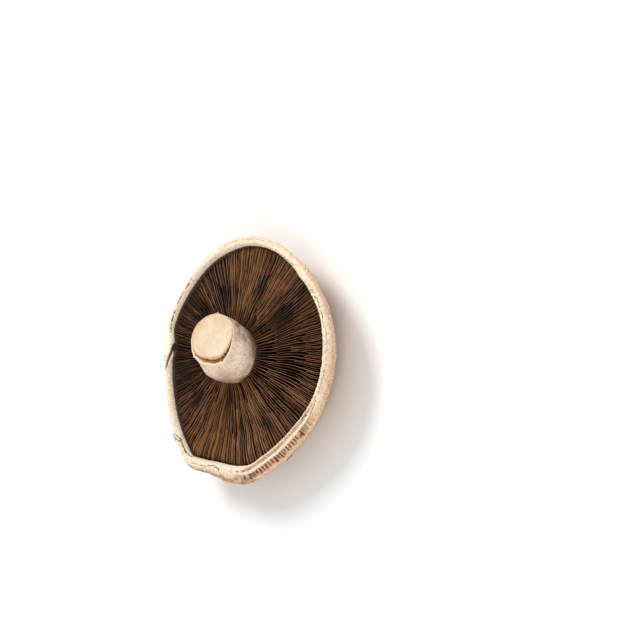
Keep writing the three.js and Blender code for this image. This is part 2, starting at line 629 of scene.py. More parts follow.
@dataclass(frozen=True)
class StemFinish:
    """Smooth cream flesh with a paler cut, a tan side and foot that are partly painted shade, and an
    orange-brown torn groove.
    """

    flesh: Colour = paint(255, 231, 208)
    shade: Colour = paint(208, 166, 128)
    pale: Colour = paint(255, 242, 234)
    # The foot colour is partly the stem's own tan and partly painted shade at the foot and on the sides away
    # from the light.
    foot: Colour = paint(148, 108, 74)
    cut: Colour = paint(232, 214, 184)
    blush: Colour = paint(228, 192, 160)
    groove: Colour = paint(214, 142, 80)
    olive: Colour = paint(170, 122, 66)
    groove_dark: Colour = paint(112, 62, 30)
    wall: Colour = paint(226, 188, 140)
    lip: Colour = paint(242, 216, 188)
    brim: Colour = paint(206, 158, 112)

    def make(self) -> bpy.types.Material:
        """Builds the material from the stem's masks and fine noise.

        Returns:
            The stem's material.
        """
        board = Board("stem_flesh")
        fine = board.noise(0.9, 4.0, rough=0.6)
        soft = board.noise(7.0, 3.0, warp=0.4)
        fibres = board.noise(0.8, 3.0, stretch=(1.0, 1.0, 0.16))
        colour = self.side(board, soft, fibres)
        colour = self.face(board, soft, colour)
        colour = self.tear(board, colour)
        colour = board.coat(colour, self.shade, board.rise(fine, 0.55, 0.7), 0.3)
        board.bumps((fibres, 0.12), (fine, 0.1))
        return board.finish(colour, board.math("ADD", board.times(fine, 0.25), 0.42), flesh=0.25)

    def side(self, board: Board, soft: Socket, fibres: Socket) -> Socket:
        """The colour of the stem's side: cream with tan spots, and darker at the foot and on two sides,
        partly tan blotches and partly painted shade.

        Args:
            board: the material.
            soft: broad noise.
            fibres: fine noise stretched up the stem.

        Returns:
            The colour.
        """
        colour = board.coat(self.flesh, self.shade, board.rise(soft, 0.5, 0.72), 0.5)
        spots = board.rise(board.noise(1.5, 5.0, rough=0.65), 0.5, 0.64)
        colour = board.coat(colour, self.shade, spots, 0.5)
        colour = board.coat(colour, self.pale, board.rise(board.noise(1.3, 3.0), 0.5, 0.64), 0.5)
        colour = board.coat(colour, self.shade, board.rise(fibres, 0.5, 0.66), 0.3)
        # Painted shade mixed with tan blotches: darker towards the foot and on the sides away from the light.
        return board.coat(colour, self.foot, board.mask("foot"), 0.8)

    def face(self, board: Board, soft: Socket, colour: Socket) -> Socket:
        """The cut face with its browned edge.

        Args:
            board: the material.
            soft: broad noise.
            colour: the colour so far.

        Returns:
            The colour.
        """
        face = board.blend(board.rise(soft, 0.45, 0.7), self.cut, self.blush)
        face = board.coat(face, self.blush, board.mask("left"), 0.4)
        face = board.coat(face, self.blush, board.rise(board.noise(1.8, 4.0), 0.54, 0.68), 0.4)
        colour = board.blend(board.mask("cut"), colour, face)
        return board.coat(colour, self.brim, board.mask("brim"), 0.6)

    def tear(self, board: Board, colour: Socket) -> Socket:
        """The groove under the cut, from the sheath's pale lip in to the core's wall.

        Args:
            board: the material.
            colour: the colour so far.

        Returns:
            The colour.
        """
        ragged = board.math("ADD", board.mask("stripe"), board.times(board.noise(1.2, 3.0), 0.5))
        band = board.blend(board.rise(ragged, 0.3, 0.6), self.groove, self.olive)
        band = board.blend(board.rise(ragged, 0.68, 0.82), band, self.groove_dark)
        band = board.blend(board.rise(ragged, 0.9, 1.02), band, self.wall)
        colour = board.blend(board.mask("band"), colour, band)
        return board.blend(board.mask("lip"), colour, self.lip)




# The mushroom's parts -----------------------------------------------------------------


class Hump(NamedTuple):
    """A swelling, or a dent where its height is below zero: direction and half width in degrees."""

    at: float
    width: float
    height: float


@dataclass(frozen=True)
class Outline:
    """The cap's plan and section, in millimetres, as the frame's cap has them."""

    radii: tuple[float, ...] = (59.1, 61.8, 62.1, 60.5, 60.5, 56.7, 55.2, 56.8, 60.1,
                                59.6, 59.1, 57.4, 57.4, 59.3, 59.6, 58.6, 56.9, 57.0)
    rim_half_widths: tuple[float, ...] = (2.2, 3.2, 1.8, 2.4, 2.2, 3.0, 5.0, 4.2, 3.4, 2.4, 2.2, 2.6)
    crown_flat: float = 24.0
    crest: float = 24.0
    edge_drop: float = 3.2
    edge_drop_extra: float = 4.5
    edge_drop_angle: float = 205.0
    lip_width: float = 2.0
    lip_drop: float = 2.6
    flesh: float = 13.5
    floor_margin: float = 10.0
    edge_swells: tuple[Hump, ...] = (
        Hump(148.0, 6.0, 0.8), Hump(160.5, 6.5, 2.2), Hump(173.5, 6.0, -0.8), Hump(199.0, 12.0, 1.5),
        Hump(101.0, 4.0, 0.9), Hump(94.0, 3.0, -0.7), Hump(331.0, 7.0, 0.5))
    lip_swells: tuple[Hump, ...] = (
        Hump(161.0, 5.0, 1.3), Hump(183.0, 12.0, -1.0), Hump(207.0, 7.0, 0.8), Hump(97.0, 3.0, -0.8),
        Hump(91.0, 2.5, -0.9), Hump(84.0, 4.0, 0.5), Hump(330.0, 4.0, -0.4))

    def swell(self, humps: tuple[Hump, ...], angles: Array) -> Array:
        """The sum of small swellings and dents."""
        return sum(hump.height * bump_at(angles, hump.at, hump.width) for hump in humps)

    def radius(self, angles: Array) -> Array:
        """The outermost radius."""
        return around(self.radii, angles) + self.swell(self.edge_swells, angles)

    def half_width(self, angles: Array) -> Array:
        """The rolled rim's half width."""
        return self.radius(angles) - self.lip_width - self.lip_radius(angles)

    def widest(self, angles: Array) -> Array:
        """The height of the widest line."""
        share = 0.5 + 0.5 * np.cos(angles - math.radians(self.edge_drop_angle))
        return self.crest - self.edge_drop - self.edge_drop_extra * share**3

    def lip_radius(self, angles: Array) -> Array:
        """The radius where the inner lip meets the gills' outer ends."""
        plain = around(self.radii, angles) - around(self.rim_half_widths, angles) - self.lip_width
        return plain + self.swell(self.lip_swells, angles)

    def wall(self, angles: Array, share: float) -> tuple[Array, Array]:
        """The wall under the lip.

        Args:
            angles: where round the cap.
            share: how far from the lip to the flesh, from 0 to 1.

        Returns:
            Radius and height.
        """
        foot, low = self.radius(angles) - self.floor_margin, self.crest - self.lip_drop
        lip = self.lip_radius(angles)
        rho = bezier(lip, lip - 0.4, foot + 3.0, foot, share)
        return rho, bezier(low, low - 4.0, self.flesh, self.flesh, share) * np.ones_like(angles)

    def shift(self) -> Array:
        """Compares this plan with the frame's cap.

        Returns:
            How far the frame's cap centre lies from the centre of this plan.
        """
        angles = np.linspace(0.0, FULL_TURN, 720, endpoint=False)
        plan = around(self.radii, angles)[:, None] * round_plan(angles)
        own = 0.5 * (plan.min(axis=0) + plan.max(axis=0))
        low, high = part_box("cap")
        framed = 0.5 * (np.asarray(low) + np.asarray(high))[:2] / MM
        return np.array([*(framed - own), 0.0])


@dataclass
class Part:
    """A part of the mushroom, which builds its mesh and dresses it.

    The shift leads from the outline's centre to the frame's.
    """

    slot: ClassVar[Slot]
    node: ClassVar[str]
    outline: Outline
    shift: Array

    def build(self) -> bpy.types.Object:
        """Builds the part's mesh."""
        raise NotImplementedError

    def material(self) -> bpy.types.Material:
        """Makes the part's material."""
        raise NotImplementedError

    def dress(self) -> None:
        """Builds the part, gives it its material and its body, and hides the frame's node that it stands for.
        """
        piece = self.build()
        piece.data.materials.append(self.material())
        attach(piece, "root")
        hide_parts(self.node)
        LOG.info("%s stands for %s", piece.name, self.node)


class Mark(NamedTuple):
    """A crack or a dark mark on the rim, or a shred that stands up where its depth is below zero.

    It runs from one place to another, each a direction in degrees and a distance from the rim's crest in
    millimetres. A degree is about a millimetre there. Broken is the share of it that is left out.
    """

    from_turn: float
    from_arc: float
    to_turn: float
    to_arc: float
    width: float
    broken: float
    depth: float


RIM_MARKS = (
    Mark(93.0, -3.8, 99.3, -1.7, 0.8, 0.0, 0.9), Mark(99.3, -1.7, 105.5, 0.0, 0.6, 0.0, 0.8),
    Mark(105.5, 0.0, 111.0, 2.4, 0.35, 0.3, 0.4), Mark(99.0, 2.0, 102.0, 2.3, 0.3, 0.5, 0.2),
    Mark(145.0, 0.6, 150.0, -1.6, 0.32, 0.3, 0.3), Mark(146.0, 2.2, 150.5, -0.6, 0.3, 0.3, 0.3),
    Mark(150.0, -0.8, 157.8, -1.0, 0.42, 0.5, 0.3), Mark(157.0, -1.2, 163.0, -2.6, 0.35, 0.5, 0.3),
    Mark(143.5, 2.5, 146.5, 2.9, 0.5, 0.2, -0.7), Mark(127.5, 1.5, 130.5, 1.1, 0.32, 0.4, 0.2),
    Mark(133.5, 1.3, 137.0, 2.1, 0.32, 0.4, 0.2), Mark(176.5, 0.5, 181.0, 0.0, 0.22, 0.2, 0.2),
    Mark(181.0, 0.0, 184.5, 0.7, 0.25, 0.2, 0.2), Mark(184.5, 0.7, 185.5, 1.6, 0.35, 0.2, 0.2),
    Mark(198.0, 0.9, 208.0, 0.8, 0.32, 0.8, 0.2), Mark(45.0, 1.9, 50.0, 1.3, 0.45, 0.7, 0.2),
    Mark(50.0, 1.3, 61.0, -0.5, 0.35, 0.9, 0.2), Mark(61.0, -0.5, 72.0, -0.6, 0.35, 0.95, 0.15),
    Mark(76.0, -0.9, 87.0, -1.8, 0.4, 0.95, 0.15), Mark(224.5, 10.8, 228.0, 11.2, 0.4, 0.1, -0.7),
    Mark(250.0, -0.8, 252.4, 1.0, 0.4, 0.2, 0.5), Mark(243.0, 3.0, 250.0, 3.0, 0.22, 0.4, 0.2),
    Mark(250.0, 3.0, 261.0, 1.5, 0.2, 0.4, 0.2), Mark(337.0, -0.2, 350.0, -1.6, 0.3, 0.6, 0.2),
    Mark(119.0, 2.4, 131.0, 2.2, 0.3, 0.9, 0.15), Mark(312.0, 0.4, 324.0, -0.3, 0.2, 0.9, 0.1),
    Mark(296.0, 0.5, 310.0, 0.6, 0.2, 0.95, 0.1),
)


@dataclass
class CapSkin:
    """The cap's skin as it is worked out: the relief so far, in millimetres, and the masks.

    The arc is the distance from the rim's crest, positive outwards down the dome.
    """

    points: Array
    arc: Array
    angles: Array
    seed: int = 11
    scale_relief: float = 0.45
    marks: tuple[Mark, ...] = RIM_MARKS
    masks: Masks = field(default_factory=dict)

    def __post_init__(self) -> None:
        """Sets up the noises and the coordinates that follow the rim."""
        self.grain, self.other = Grain(self.seed), Grain(self.seed + 5)
        self.turns = np.broadcast_to(self.angles, self.arc.shape)
        self.degrees = np.degrees(self.turns)
        self.wide = stack(np.cos(self.turns) * 18.0, np.sin(self.turns) * 18.0, self.arc)
        self.relief = np.zeros_like(self.arc)

    def work_out(self) -> None:
        """Fills in the relief and the masks, from the broad skin to the finest marks."""
        self.masks["arc"] = self.arc
        self.scales()
        self.waves()
        from_seam, seam = self.seam()
        thick_rim, ridge, ribs = self.thick_rim()
        pores = self.pores()
        self.relief -= 0.35 * pores
        self.threads(from_seam)
        strokes, hollow = self.strokes()
        self.relief -= hollow
        broken = smoothstep(0.46, 0.62, self.other.smooth(self.wide * 4.0 + 3.0, 1.6))
        lip_edge = np.exp(-(((self.arc + 2.5) / 0.5) ** 2))
        toasted = self.stretch(262.0, 276.0, 335.0, 352.0)
        self.masks["band"] = smoothstep(0.15, -0.1, from_seam) * (1.0 - thick_rim)
        self.masks["rib"] = np.clip(0.9 * ribs + self.stains(), 0, 1)
        self.masks["groove"] = np.clip(0.55 * seam * broken + 0.8 * pores + strokes, 0, 1)
        # Painted shade: the wall beneath the lip, inside its curl, is painted dark.
        self.masks["under"] = smoothstep(-3.3, -3.7, self.arc)
        self.masks["pale"] = np.clip(0.7 * ridge + 0.5 * lip_edge + 0.8 * self.flap(), 0, 1)
        self.masks["thick"] = ((thick_rim + 0.5 * toasted) * smoothstep(2.4, 3.6, self.arc)
                               * smoothstep(12.0, 9.0, self.arc))

    def stretch(self, start: float, full: float, fade: float, end: float) -> Array:
        """A share that is 1 over a stretch of the rim and fades to 0 at both ends.

        Args:
            start: where it starts, in degrees.
            full: where it reaches 1.
            fade: where it starts to fade.
            end: where it is back to 0.

        Returns:
            The share.
        """
        return smoothstep(start, full, self.degrees) * smoothstep(end, fade, self.degrees)

    def band(self, start: float, full: float, fade: float, end: float) -> Array:
        """The same as stretch, but across the rim, by the arc in millimetres."""
        return smoothstep(start, full, self.arc) * smoothstep(end, fade, self.arc)

    def scales(self) -> None:
        """Small flat scales with pale cracks between them, and pits in patches."""
        points, arc = self.points, self.arc
        swirl = 2.2 * (self.grain.smooth(points, 9.0) - 0.5)
        _, border, chance = self.grain.cells(
            stack(points[..., 0] / 2.6, points[..., 1] / 2.6, arc + swirl), 1.05)
        patchy = self.grain.fractal(points, 17.0, 3)
        scaly = np.clip(smoothstep(34.0, 12.0, arc) * 1.1 + 1.6 * (patchy - 0.52), 0.0, 1.0)
        scaly *= smoothstep(0.8, 4.0, arc)
        lifted = smoothstep(0.02, 0.3, border) * (0.4 + 0.6 * chance)
        self.relief += self.scale_relief * scaly * (lifted - 0.5)
        self.masks["crack"] = scaly * smoothstep(0.2, 0.03, border)
        centre, _, chance = self.other.cells(points, 2.3)
        patches = smoothstep(0.5, 0.62, self.other.fractal(points + 40.0, 15.0, 3))
        patches = patches * smoothstep(2.5, 7.0, arc)
        self.masks["pit"] = smoothstep(0.24, 0.1, centre) * (chance > 0.35) * patches
        self.relief -= 0.35 * self.masks["pit"]

    def waves(self) -> None:
        """Broad waves in the dome and the rim, and fine unevenness."""
        arc = self.arc
        self.relief += 0.5 * (self.grain.smooth(self.points, 14.0) - 0.5) * smoothstep(3.0, 9.0, arc)
        self.relief += 0.16 * (self.grain.fractal(self.points, 2.2, 3) - 0.5)
        self.relief += 0.5 * (self.other.smooth(self.wide, 6.0) - 0.5) * self.band(-6.0, -2.0, 3.0, 9.0)

    def seam(self) -> tuple[Array, Array]:
        """The wandering seam between the rim's inner band and its outer roll.

        Returns:
            The distance from the seam, and the share of its groove.
        """
        seam_at = (1.25 + 1.0 * (self.other.smooth(self.wide, 5.0) - 0.5)
                   + 0.4 * (self.grain.smooth(self.wide, 1.6) - 0.5))
        from_seam = self.arc - seam_at
        seam = np.exp(-((from_seam / 0.22) ** 2))
        seam *= smoothstep(0.4, 0.56, self.other.fractal(self.wide + 9.0, 3.0, 3))
        self.relief -= 0.4 * seam
        self.relief += 0.2 * smoothstep(0.0, 0.7, from_seam) * smoothstep(3.4, 1.2, from_seam)
        return from_seam, seam

    def thick_rim(self) -> tuple[Array, Array, Array]:
        """The stretch where the rim is thickest: a valley, a pale ridge and ribs.

        Returns:
            The shares of the stretch, of the ridge and of the ribs.
        """
        thick_rim = self.stretch(199.0, 209.0, 252.0, 266.0)
        wander = 0.9 * (self.other.smooth(self.wide + 3.0, 4.0) - 0.5)
        valley = thick_rim * np.exp(-(((self.arc - 0.5 - wander) / 1.15) ** 4))
        ridge = (thick_rim * np.exp(-(((self.arc - 2.2 - wander) / 0.42) ** 2))
                 * (0.45 + 0.55 * self.grain.smooth(self.wide, 2.2)))
        ribs = self.ribs()
        self.relief += 0.45 * ridge - 0.5 * valley - 0.5 * ribs
        self.masks["valley"] = valley
        return thick_rim, ridge, ribs

    def ribs(self) -> Array:
        """Short cross grooves on the rim's outer slope.

        Returns:
            Their share.
        """
        along, none = self.turns * RIM_RADIUS, self.arc * 0.0
        jitter = self.other.smooth(stack(along / 3.2, none, none), 1.0)
        phase = (along + 0.3 * self.arc) / 2.0 + 1.5 * jitter
        lines = smoothstep(0.3, 0.75, 0.5 + 0.5 * np.cos(FULL_TURN * phase))
        size = self.other.smooth(stack(along / 1.3 + 31.0, none, none), 1.0)
        fleck = self.other.smooth(stack(along / 0.7, self.arc / 1.1, none), 1.0)
        ends = 6.0 + 2.4 * size
        span = smoothstep(2.6, 3.3, self.arc) * smoothstep(ends, ends - 1.4, self.arc)
        cuts = lines * (0.85 + 0.4 * size) * (0.75 + 0.6 * fleck)
        return np.clip(self.stretch(194.0, 206.0, 240.0, 256.0) * span * (0.3 + cuts), 0.0, 1.0)

    def pores(self) -> Array:
        """Dots and short cross slits in the rim's inner band.

        Returns:
            Their share.
        """
        noise, along, level = Grain(self.seed + 9), self.turns * RIM_RADIUS, self.arc * 0.0 + 0.5
        centre, _, chance = noise.cells(stack(along / 1.15, self.arc / 1.5, level), 1.0)
        slit = smoothstep(0.3, 0.16, centre) * (chance > 0.3)
        slit *= self.stretch(250.0, 258.0, 290.0, 302.0)
        slit *= self.band(-3.0, -2.0, 0.9, 1.8)
        centre, _, chance = noise.cells(stack(along / 0.8, self.arc / 0.75, level), 1.0)
        dot = smoothstep(0.36, 0.2, centre) * (chance > 0.5)
        dot *= smoothstep(0.35, 0.6, noise.smooth(self.wide, 3.5))
        dot *= self.band(-1.6, -0.8, 1.2, 2.0)
        return np.clip(slit + dot, 0.0, 1.0)

    def threads(self, from_seam: Array) -> None:
        """Fine radial threads, stronger inside the seam.

        Args:
            from_seam: distance from the seam.
        """
        place = stack(self.turns * RIM_RADIUS / 0.6, self.arc / 2.0, self.arc * 0.0)
        threads = self.grain.smooth(place, 1.0)
        inner = smoothstep(0.1, -0.25, from_seam) * smoothstep(-5.5, -3.4, self.arc)
        self.relief += (0.14 + 0.2 * inner) * (threads - 0.5) * self.band(-5.5, -3.4, 8.0, 13.0)

    def strokes(self) -> tuple[Array, Array]:
        """The rim's separate cracks and dark marks.

        Returns:
            Their share from 0 to 1, and how deep they are.
        """
        place = stack(self.turns * (RIM_RADIUS - 1.0), self.arc, self.arc * 0.0)
        ragged = self.other.fractal(place, 0.9, 3)
        wobble = 0.9 * (self.other.smooth(place + 60.0, 1.6) - 0.5)
        share, hollow = np.zeros_like(self.arc), np.zeros_like(self.arc)
        for mark in self.marks:
            u, v = turn_between(self.turns, mark.from_turn), self.arc - mark.from_arc
            du, dv = mark.to_turn - mark.from_turn, mark.to_arc - mark.from_arc
            t = np.clip((u * du + v * dv) / (du * du + dv * dv), 0.0, 1.0)
            away = np.hypot(u - t * du + 0.4 * wobble, v - t * dv + 0.4 * wobble)
            line = smoothstep(1.3 * mark.width, 0.6 * mark.width, away)
            line *= 1.0 - mark.broken * smoothstep(0.55, 0.45, ragged)
            share, hollow = np.maximum(share, line), hollow + mark.depth * line
        return share, np.clip(hollow, -1.0, 1.4)

    def stains(self) -> Array:
        """Brown marks in the dented corner of the rim and under its outer edge.

        Returns:
            Their share.
        """
        rough = self.other.fractal(stack(self.turns * 30.0, self.arc * 1.2, self.arc * 0.0), 1.6, 3)
        corner = bump_at(self.turns, 149.0, 4.5) * np.exp(-(((self.arc + 0.4) / 1.1) ** 2))
        along = self.stretch(150.0, 166.0, 198.0, 214.0)
        along += 0.35 * self.stretch(198.0, 214.0, 240.0, 262.0)
        edge = along * self.band(2.6, 4.6, 9.0, 14.0) * 0.5
        return (corner * 0.8 + edge) * smoothstep(0.44, 0.6, rough)

    def flap(self) -> Array:
        """The pale torn flap beside the rim's crack."""
        return self.stretch(84.0, 88.0, 96.0, 101.0) * self.band(-4.2, -3.0, 2.4, 4.0)


@dataclass
class Cap(Part):
    """The domed cap: cracked scaly skin below, and a rolled rim round the gills' hollow."""

    slot: ClassVar[Slot] = Slot.CAP
    node: ClassVar[str] = "cap"
    steps: int = 1200
    crown_rings: int = 14
    dome_rings: int = 66
    fine_dome_rings: int = 10
    shoulder_rings: int = 22
    lip_rings: int = 10
    wall_rings: int = 4
    inner_radius: float = 20.0
    flat_height: float = 0.02

    def section(self, angles: Array) -> list[tuple[Array, Array, int]]:
        """The rings, from the crown to the flesh.

        Args:
            angles: the angles of all steps.

        Returns:
            For each ring its radii, its heights and every how many steps it has a point.
        """
        plan = self.outline
        radius, half = plan.radius(angles), plan.half_width(angles)
        widest = plan.widest(angles)
        flat, crest = plan.crown_flat, plan.crest
        rings: list[tuple[Array, Array, int]] = []
        same = np.ones_like(angles)
        for share in np.linspace(0.0, 1.0, self.crown_rings + 1)[1:-1]:
            rings.append((flat * share * same, 0.0 * same, 4))
        for i in range(self.dome_rings):
            share = (i / self.dome_rings) ** 0.9
            stride = 1 if i >= self.dome_rings - self.fine_dome_rings else 2
            rings.append((bezier(flat * same, flat + 18.0, radius - 1.5, radius, share),
                          bezier(0.0, 1.0, 0.7 * widest, widest, share), stride))
        for i in range(self.shoulder_rings):
            turn = 0.5 * math.pi * i / self.shoulder_rings
            rings.append((radius - half + half * math.cos(turn),
                          widest + (crest - widest) * math.sin(turn), 1))
        for i in range(self.lip_rings):
            turn = 0.5 * math.pi * i / self.lip_rings
            rings.append((radius - half - plan.lip_width * math.sin(turn),
                          crest - plan.lip_drop + plan.lip_drop * math.cos(turn) * same, 1))
        for i in range(self.wall_rings + 1):
            rings.append((*plan.wall(angles, i / self.wall_rings), 2 if i else 1))
        rings.append((self.inner_radius * same, plan.flesh * same, 4))
        return rings

    def build(self) -> bpy.types.Object:
        """Builds the cap's closed skin with its relief and masks.

        Returns:
            The cap.
        """
        angles = np.arange(self.steps) / self.steps * FULL_TURN
        section = self.section(angles)
        rho, z = np.array([ring[0] for ring in section]), np.array([ring[1] for ring in section])
        strides = [ring[2] for ring in section]
        points = stack(rho * np.cos(angles), rho * np.sin(angles), z)
        crest_ring = self.crown_rings - 1 + self.dome_rings + self.shoulder_rings
        steps_out = np.linalg.norm(np.diff(stack(rho, z), axis=0), axis=-1)
        length = np.concatenate([np.zeros((1, self.steps)), np.cumsum(steps_out, axis=0)])
        skin = CapSkin(points, length[crest_ring] - length, angles)
        skin.work_out()
        relief = np.where(z < self.flat_height, 0.0, skin.relief)
        points = points + outward_normals(points) * relief[..., None]
        points[..., 2] = np.maximum(points[..., 2], 0.0)
        points += self.shift
        rings = [np.array([[*self.shift[:2], 0.0]])]
        rings += [ring[::stride] for ring, stride in zip(points, strides)]
        rings.append(np.array([[*self.shift[:2], self.outline.flesh]]))
        ringed = {label: [values[0, :1]] + [v[::s] for v, s in zip(values, strides)] + [values[-1, :1]]
                  for label, values in skin.masks.items()}
        return make_object("cap_skin_and_rim", *close_rings(rings, ringed))

    def material(self) -> bpy.types.Material:
        """Makes the cap's material."""
        return CapFinish().make()


class Station(NamedTuple):
    """A place on the stem's middle line, and the stem's radius there."""

    x: float
    y: float
    z: float
    radius: float


class Zone(IntEnum):
    """The stem's zones, from the foot up and in over the cut."""

    SIDE = 0
    LIP = 1
    BAND = 2
    EDGE = 3
    CUT = 4


@dataclass
class Stem(Part):
    """The short leaning stem: a bulging foot, a torn sheath and the slanted cut."""

    slot: ClassVar[Slot] = Slot.STEM
    node: ClassVar[str] = "stem"
    stations: tuple[Station, ...] = (
        Station(0.6, 7.6, 13.6, 13.4), Station(0.6, 7.4, 19.0, 13.9), Station(1.4, 7.2, 24.0, 14.5),
        Station(3.4, 6.9, 29.0, 13.6), Station(5.4, 6.8, 33.5, 12.0), Station(6.9, 6.6, 38.5, 11.0))
    foot_height: float = 13.6
    height: float = 24.9
    slant: float = math.radians(20.0)
    gaps: tuple[float, ...] = (0.15, 0.05, 0.05, 0.06, 0.5, 1.1, 1.4, 1.4, 1.2, 0.8, 0.45, 0.3)
    ledges: tuple[float, ...] = (0.1, 0.0, 0.0, 0.0, 0.5, 2.0, 3.3, 3.3, 2.0, 0.7, 0.35, 0.2)
    cut_shape: tuple[float, ...] = (1.04, 0.94, 0.9, 0.92, 0.99, 1.05, 0.96, 0.92, 0.86, 0.88, 1.0, 1.08)
    edge_drop: float = 0.35
    edge_width: float = 0.5
    steps: int = 320
    rings: tuple[int, ...] = (90, 5, 10, 5, 21)
    pale_cut_rings: int = 16
    seed: int = 23

    def __post_init__(self) -> None:
        """Works out what all rings share."""
        self.grain = Grain(self.seed)
        self.angles = np.arange(self.steps) / self.steps * FULL_TURN
        self.same = np.ones_like(self.angles)
        self.shape = around(self.cut_shape, self.angles)
        self.ledge = np.maximum(around(self.ledges, self.angles), 0.0)
        uneven = self.grain.smooth(stack(self.angles * 9, self.angles * 0, self.angles * 0), 1.0)
        self.gap = around(self.gaps, self.angles) * (0.85 + 0.3 * uneven)
        self.depth = np.clip(self.gap / 1.4, 0.0, 1.0)
        self.zones = np.repeat(np.array(Zone), self.rings)

    def line(self, share: Array) -> Array:
        """Reads the stem's middle line.

        Args:
            share: how far up to read it, from 0 to 1.

        Returns:
            The centre's three coordinates and the radius.
        """
        table = np.array(self.stations)
        last = len(table) - 1
        place = np.clip(share, 0.0, 1.0) * last
        first = np.clip(np.floor(place).astype(int), 0, last - 1)
        near = (table[np.clip(first + k, 0, last)] for k in (-1, 0, 1, 2))
        return curve_through(*near, (place - first)[..., None])

    def side_ring(self, share: Array) -> Array:
        """One ring of the stem's side.

        Args:
            share: how far up it lies, from 0 to 1, for every step.

        Returns:
            The ring's points.
        """
        at = self.line(share)
        radius = at[:, 3] * (1.0 + (self.shape - 1.0) * smoothstep(0.35, 1.0, share))
        radius += self.ledge * smoothstep(0.3, 0.9, share)
        radius += 1.9 * bump_at(self.angles, 142.0, 48.0) * np.exp(-(((share - 0.66) / 0.24) ** 2))
        offset = stack(radius * np.cos(self.angles), radius * np.sin(self.angles), self.same * 0.0)
        sink = self.gap * smoothstep(0.55, 1.0, share)
        offset[:, 2] += offset[:, 1] * math.tan(self.slant) * share**3 - sink
        return at[:, :3] + offset

    def on_cut(self, radius: Array, height: Array) -> Array:
        """A ring in the slanted cut's own frame.

        Args:
            radius: the radius at every step.
            height: the height over the cut, one for all steps or one for each.

        Returns:
            The ring's points.
        """
        flat = stack(radius * np.cos(self.angles), radius * np.sin(self.angles), height * self.same)
        flat[:, 2] += flat[:, 1] * math.tan(self.slant)
        return self.line(np.array(1.0))[:3] + flat

    def top_rings(self) -> list[Array]:
        """The rings over the sheath's lip, the torn band, the cut's edge and the cut.

        Returns:
            The rings' points.
        """
        angles, depth, gap, drop, width = self.angles, self.depth, self.gap, self.edge_drop, self.edge_width
        _, lips, bands, edges, cuts = self.rings
        radius = float(self.line(np.array(1.0))[3])
        tag = (0.7 * bump_at(angles, 147.0, 3.0) + 0.4 * bump_at(angles, 172.0, 4.0)
               + 0.5 * bump_at(angles, 216.0, 3.0))
        sheath = radius * self.shape + self.ledge + tag
        core = (radius * self.shape - 0.15 * depth + 0.9 * bump_at(angles, 2.0, 2.2)
                + 0.4 * bump_at(angles, 344.0, 2.0))
        thick = 1.1 * depth + 0.05
        rings = []
        for i in range(1, lips + 1):
            turn = math.pi * i / lips
            rings.append(self.on_cut(sheath - 0.5 * thick * (1 - math.cos(turn)),
                                     -gap + 0.35 * math.sin(turn) * depth))
        for i in range(1, bands + 1):
            share = i / bands
            inward = (sheath - thick) * (1 - share) + core * share
            sag = 0.9 * depth * math.sin(math.pi * min(share * 1.2, 1.0)) ** 0.7
            rise = smoothstep(0.55, 1.0, share)
            rings.append(self.on_cut(inward, -(gap + sag) * (1 - rise) - drop * rise))
        for i in range(1, edges + 1):
            turn = 0.5 * math.pi * i / edges
            rings.append(self.on_cut(core - width * (1 - math.cos(turn)), -drop + drop * math.sin(turn)))
        for i in range(1, cuts + 1):
            share = 1.0 - i / (cuts + 1)
            rings.append(self.on_cut((core - width) * share, -0.5 * (1 - share**4)))
        return rings

    def roughen(self, points: Array) -> Array:
        """Adds lumps to the side and slight waves to the cut.

        Args:
            points: the smooth stem's points.

        Returns:
            The roughened points.
        """
        height = np.clip((points[..., 2] - self.foot_height) / self.height, 0, 1)
        outward = np.zeros_like(points)
        outward[..., :2] = points[..., :2] - self.line(height)[..., :2]
        outward /= np.maximum(np.linalg.norm(outward, axis=-1, keepdims=True), 1e-6)
        place = stack(np.cos(self.angles) * 14, np.sin(self.angles) * 14, self.angles * 0)[None]
        place = place + points * [0, 0, 0.25]
        lumps = 0.5 * (self.grain.smooth(points, 8.0) - 0.5) + 0.22 * (self.grain.smooth(place, 1.3) - 0.5)
        lumps += 0.18 * (self.grain.fractal(points, 1.6, 3) - 0.5)
        side = (self.zones <= Zone.BAND)[:, None] * 1.0
        face = (self.zones >= Zone.EDGE)[:, None] * 1.0
        points = points + outward * (lumps * side)[..., None]
        points[..., 2] += face * 0.3 * (self.grain.fractal(points, 2.6, 3) - 0.5)
        return points

    def masks(self, points: Array) -> Masks:
        """The masks that colour the stem.

        Args:
            points: the roughened points.

        Returns:
            Named values for every point.
        """
        angles, same, grain = self.angles, self.same, self.grain
        sides, lips, bands, _, _ = self.rings
        number, last = np.arange(len(self.zones)), len(self.zones)
        face = (self.zones >= Zone.EDGE)[:, None] * 1.0
        blotches = smoothstep(0.2, 0.6, grain.smooth(points, 3.0))
        stripe = np.where(self.zones == Zone.BAND, (number - sides - lips) / bands, 0.0)
        outer = np.clip((number < last - self.pale_cut_rings) * 1.0, 0.25, 1.0)[:, None]
        under_lip = (self.zones == Zone.SIDE)[:, None] * (number >= sides - 2)[:, None] * 0.6
        # Painted shade with the stem's own blotches: darker towards the foot, on the lower side at 190
        # degrees, and in tan blotches on the right side at 318 degrees.
        foot = (smoothstep(26.0, 18.5, points[..., 2]) * blotches
                + bump_at(angles, 190.0, 30.0) * smoothstep(35.0, 25.0, points[..., 2])
                + 0.9 * bump_at(angles, 318.0, 30.0) * smoothstep(0.34, 0.58, grain.fractal(points, 3.2, 3)))
        return {
            "cut": face * same,
            "band": (self.zones == Zone.BAND)[:, None] * smoothstep(0.1, 0.5, self.depth),
            "brim": (self.zones == Zone.EDGE)[:, None] * blotches,
            "stripe": stripe[:, None] * same,
            "left": face * smoothstep(-0.2, 0.9, np.cos(angles - math.radians(120.0))) * outer,
            "lip": np.clip((self.zones == Zone.LIP)[:, None] * same * 0.9 + under_lip, 0, 1),
            "foot": np.clip(foot, 0.0, 1.0),
        }

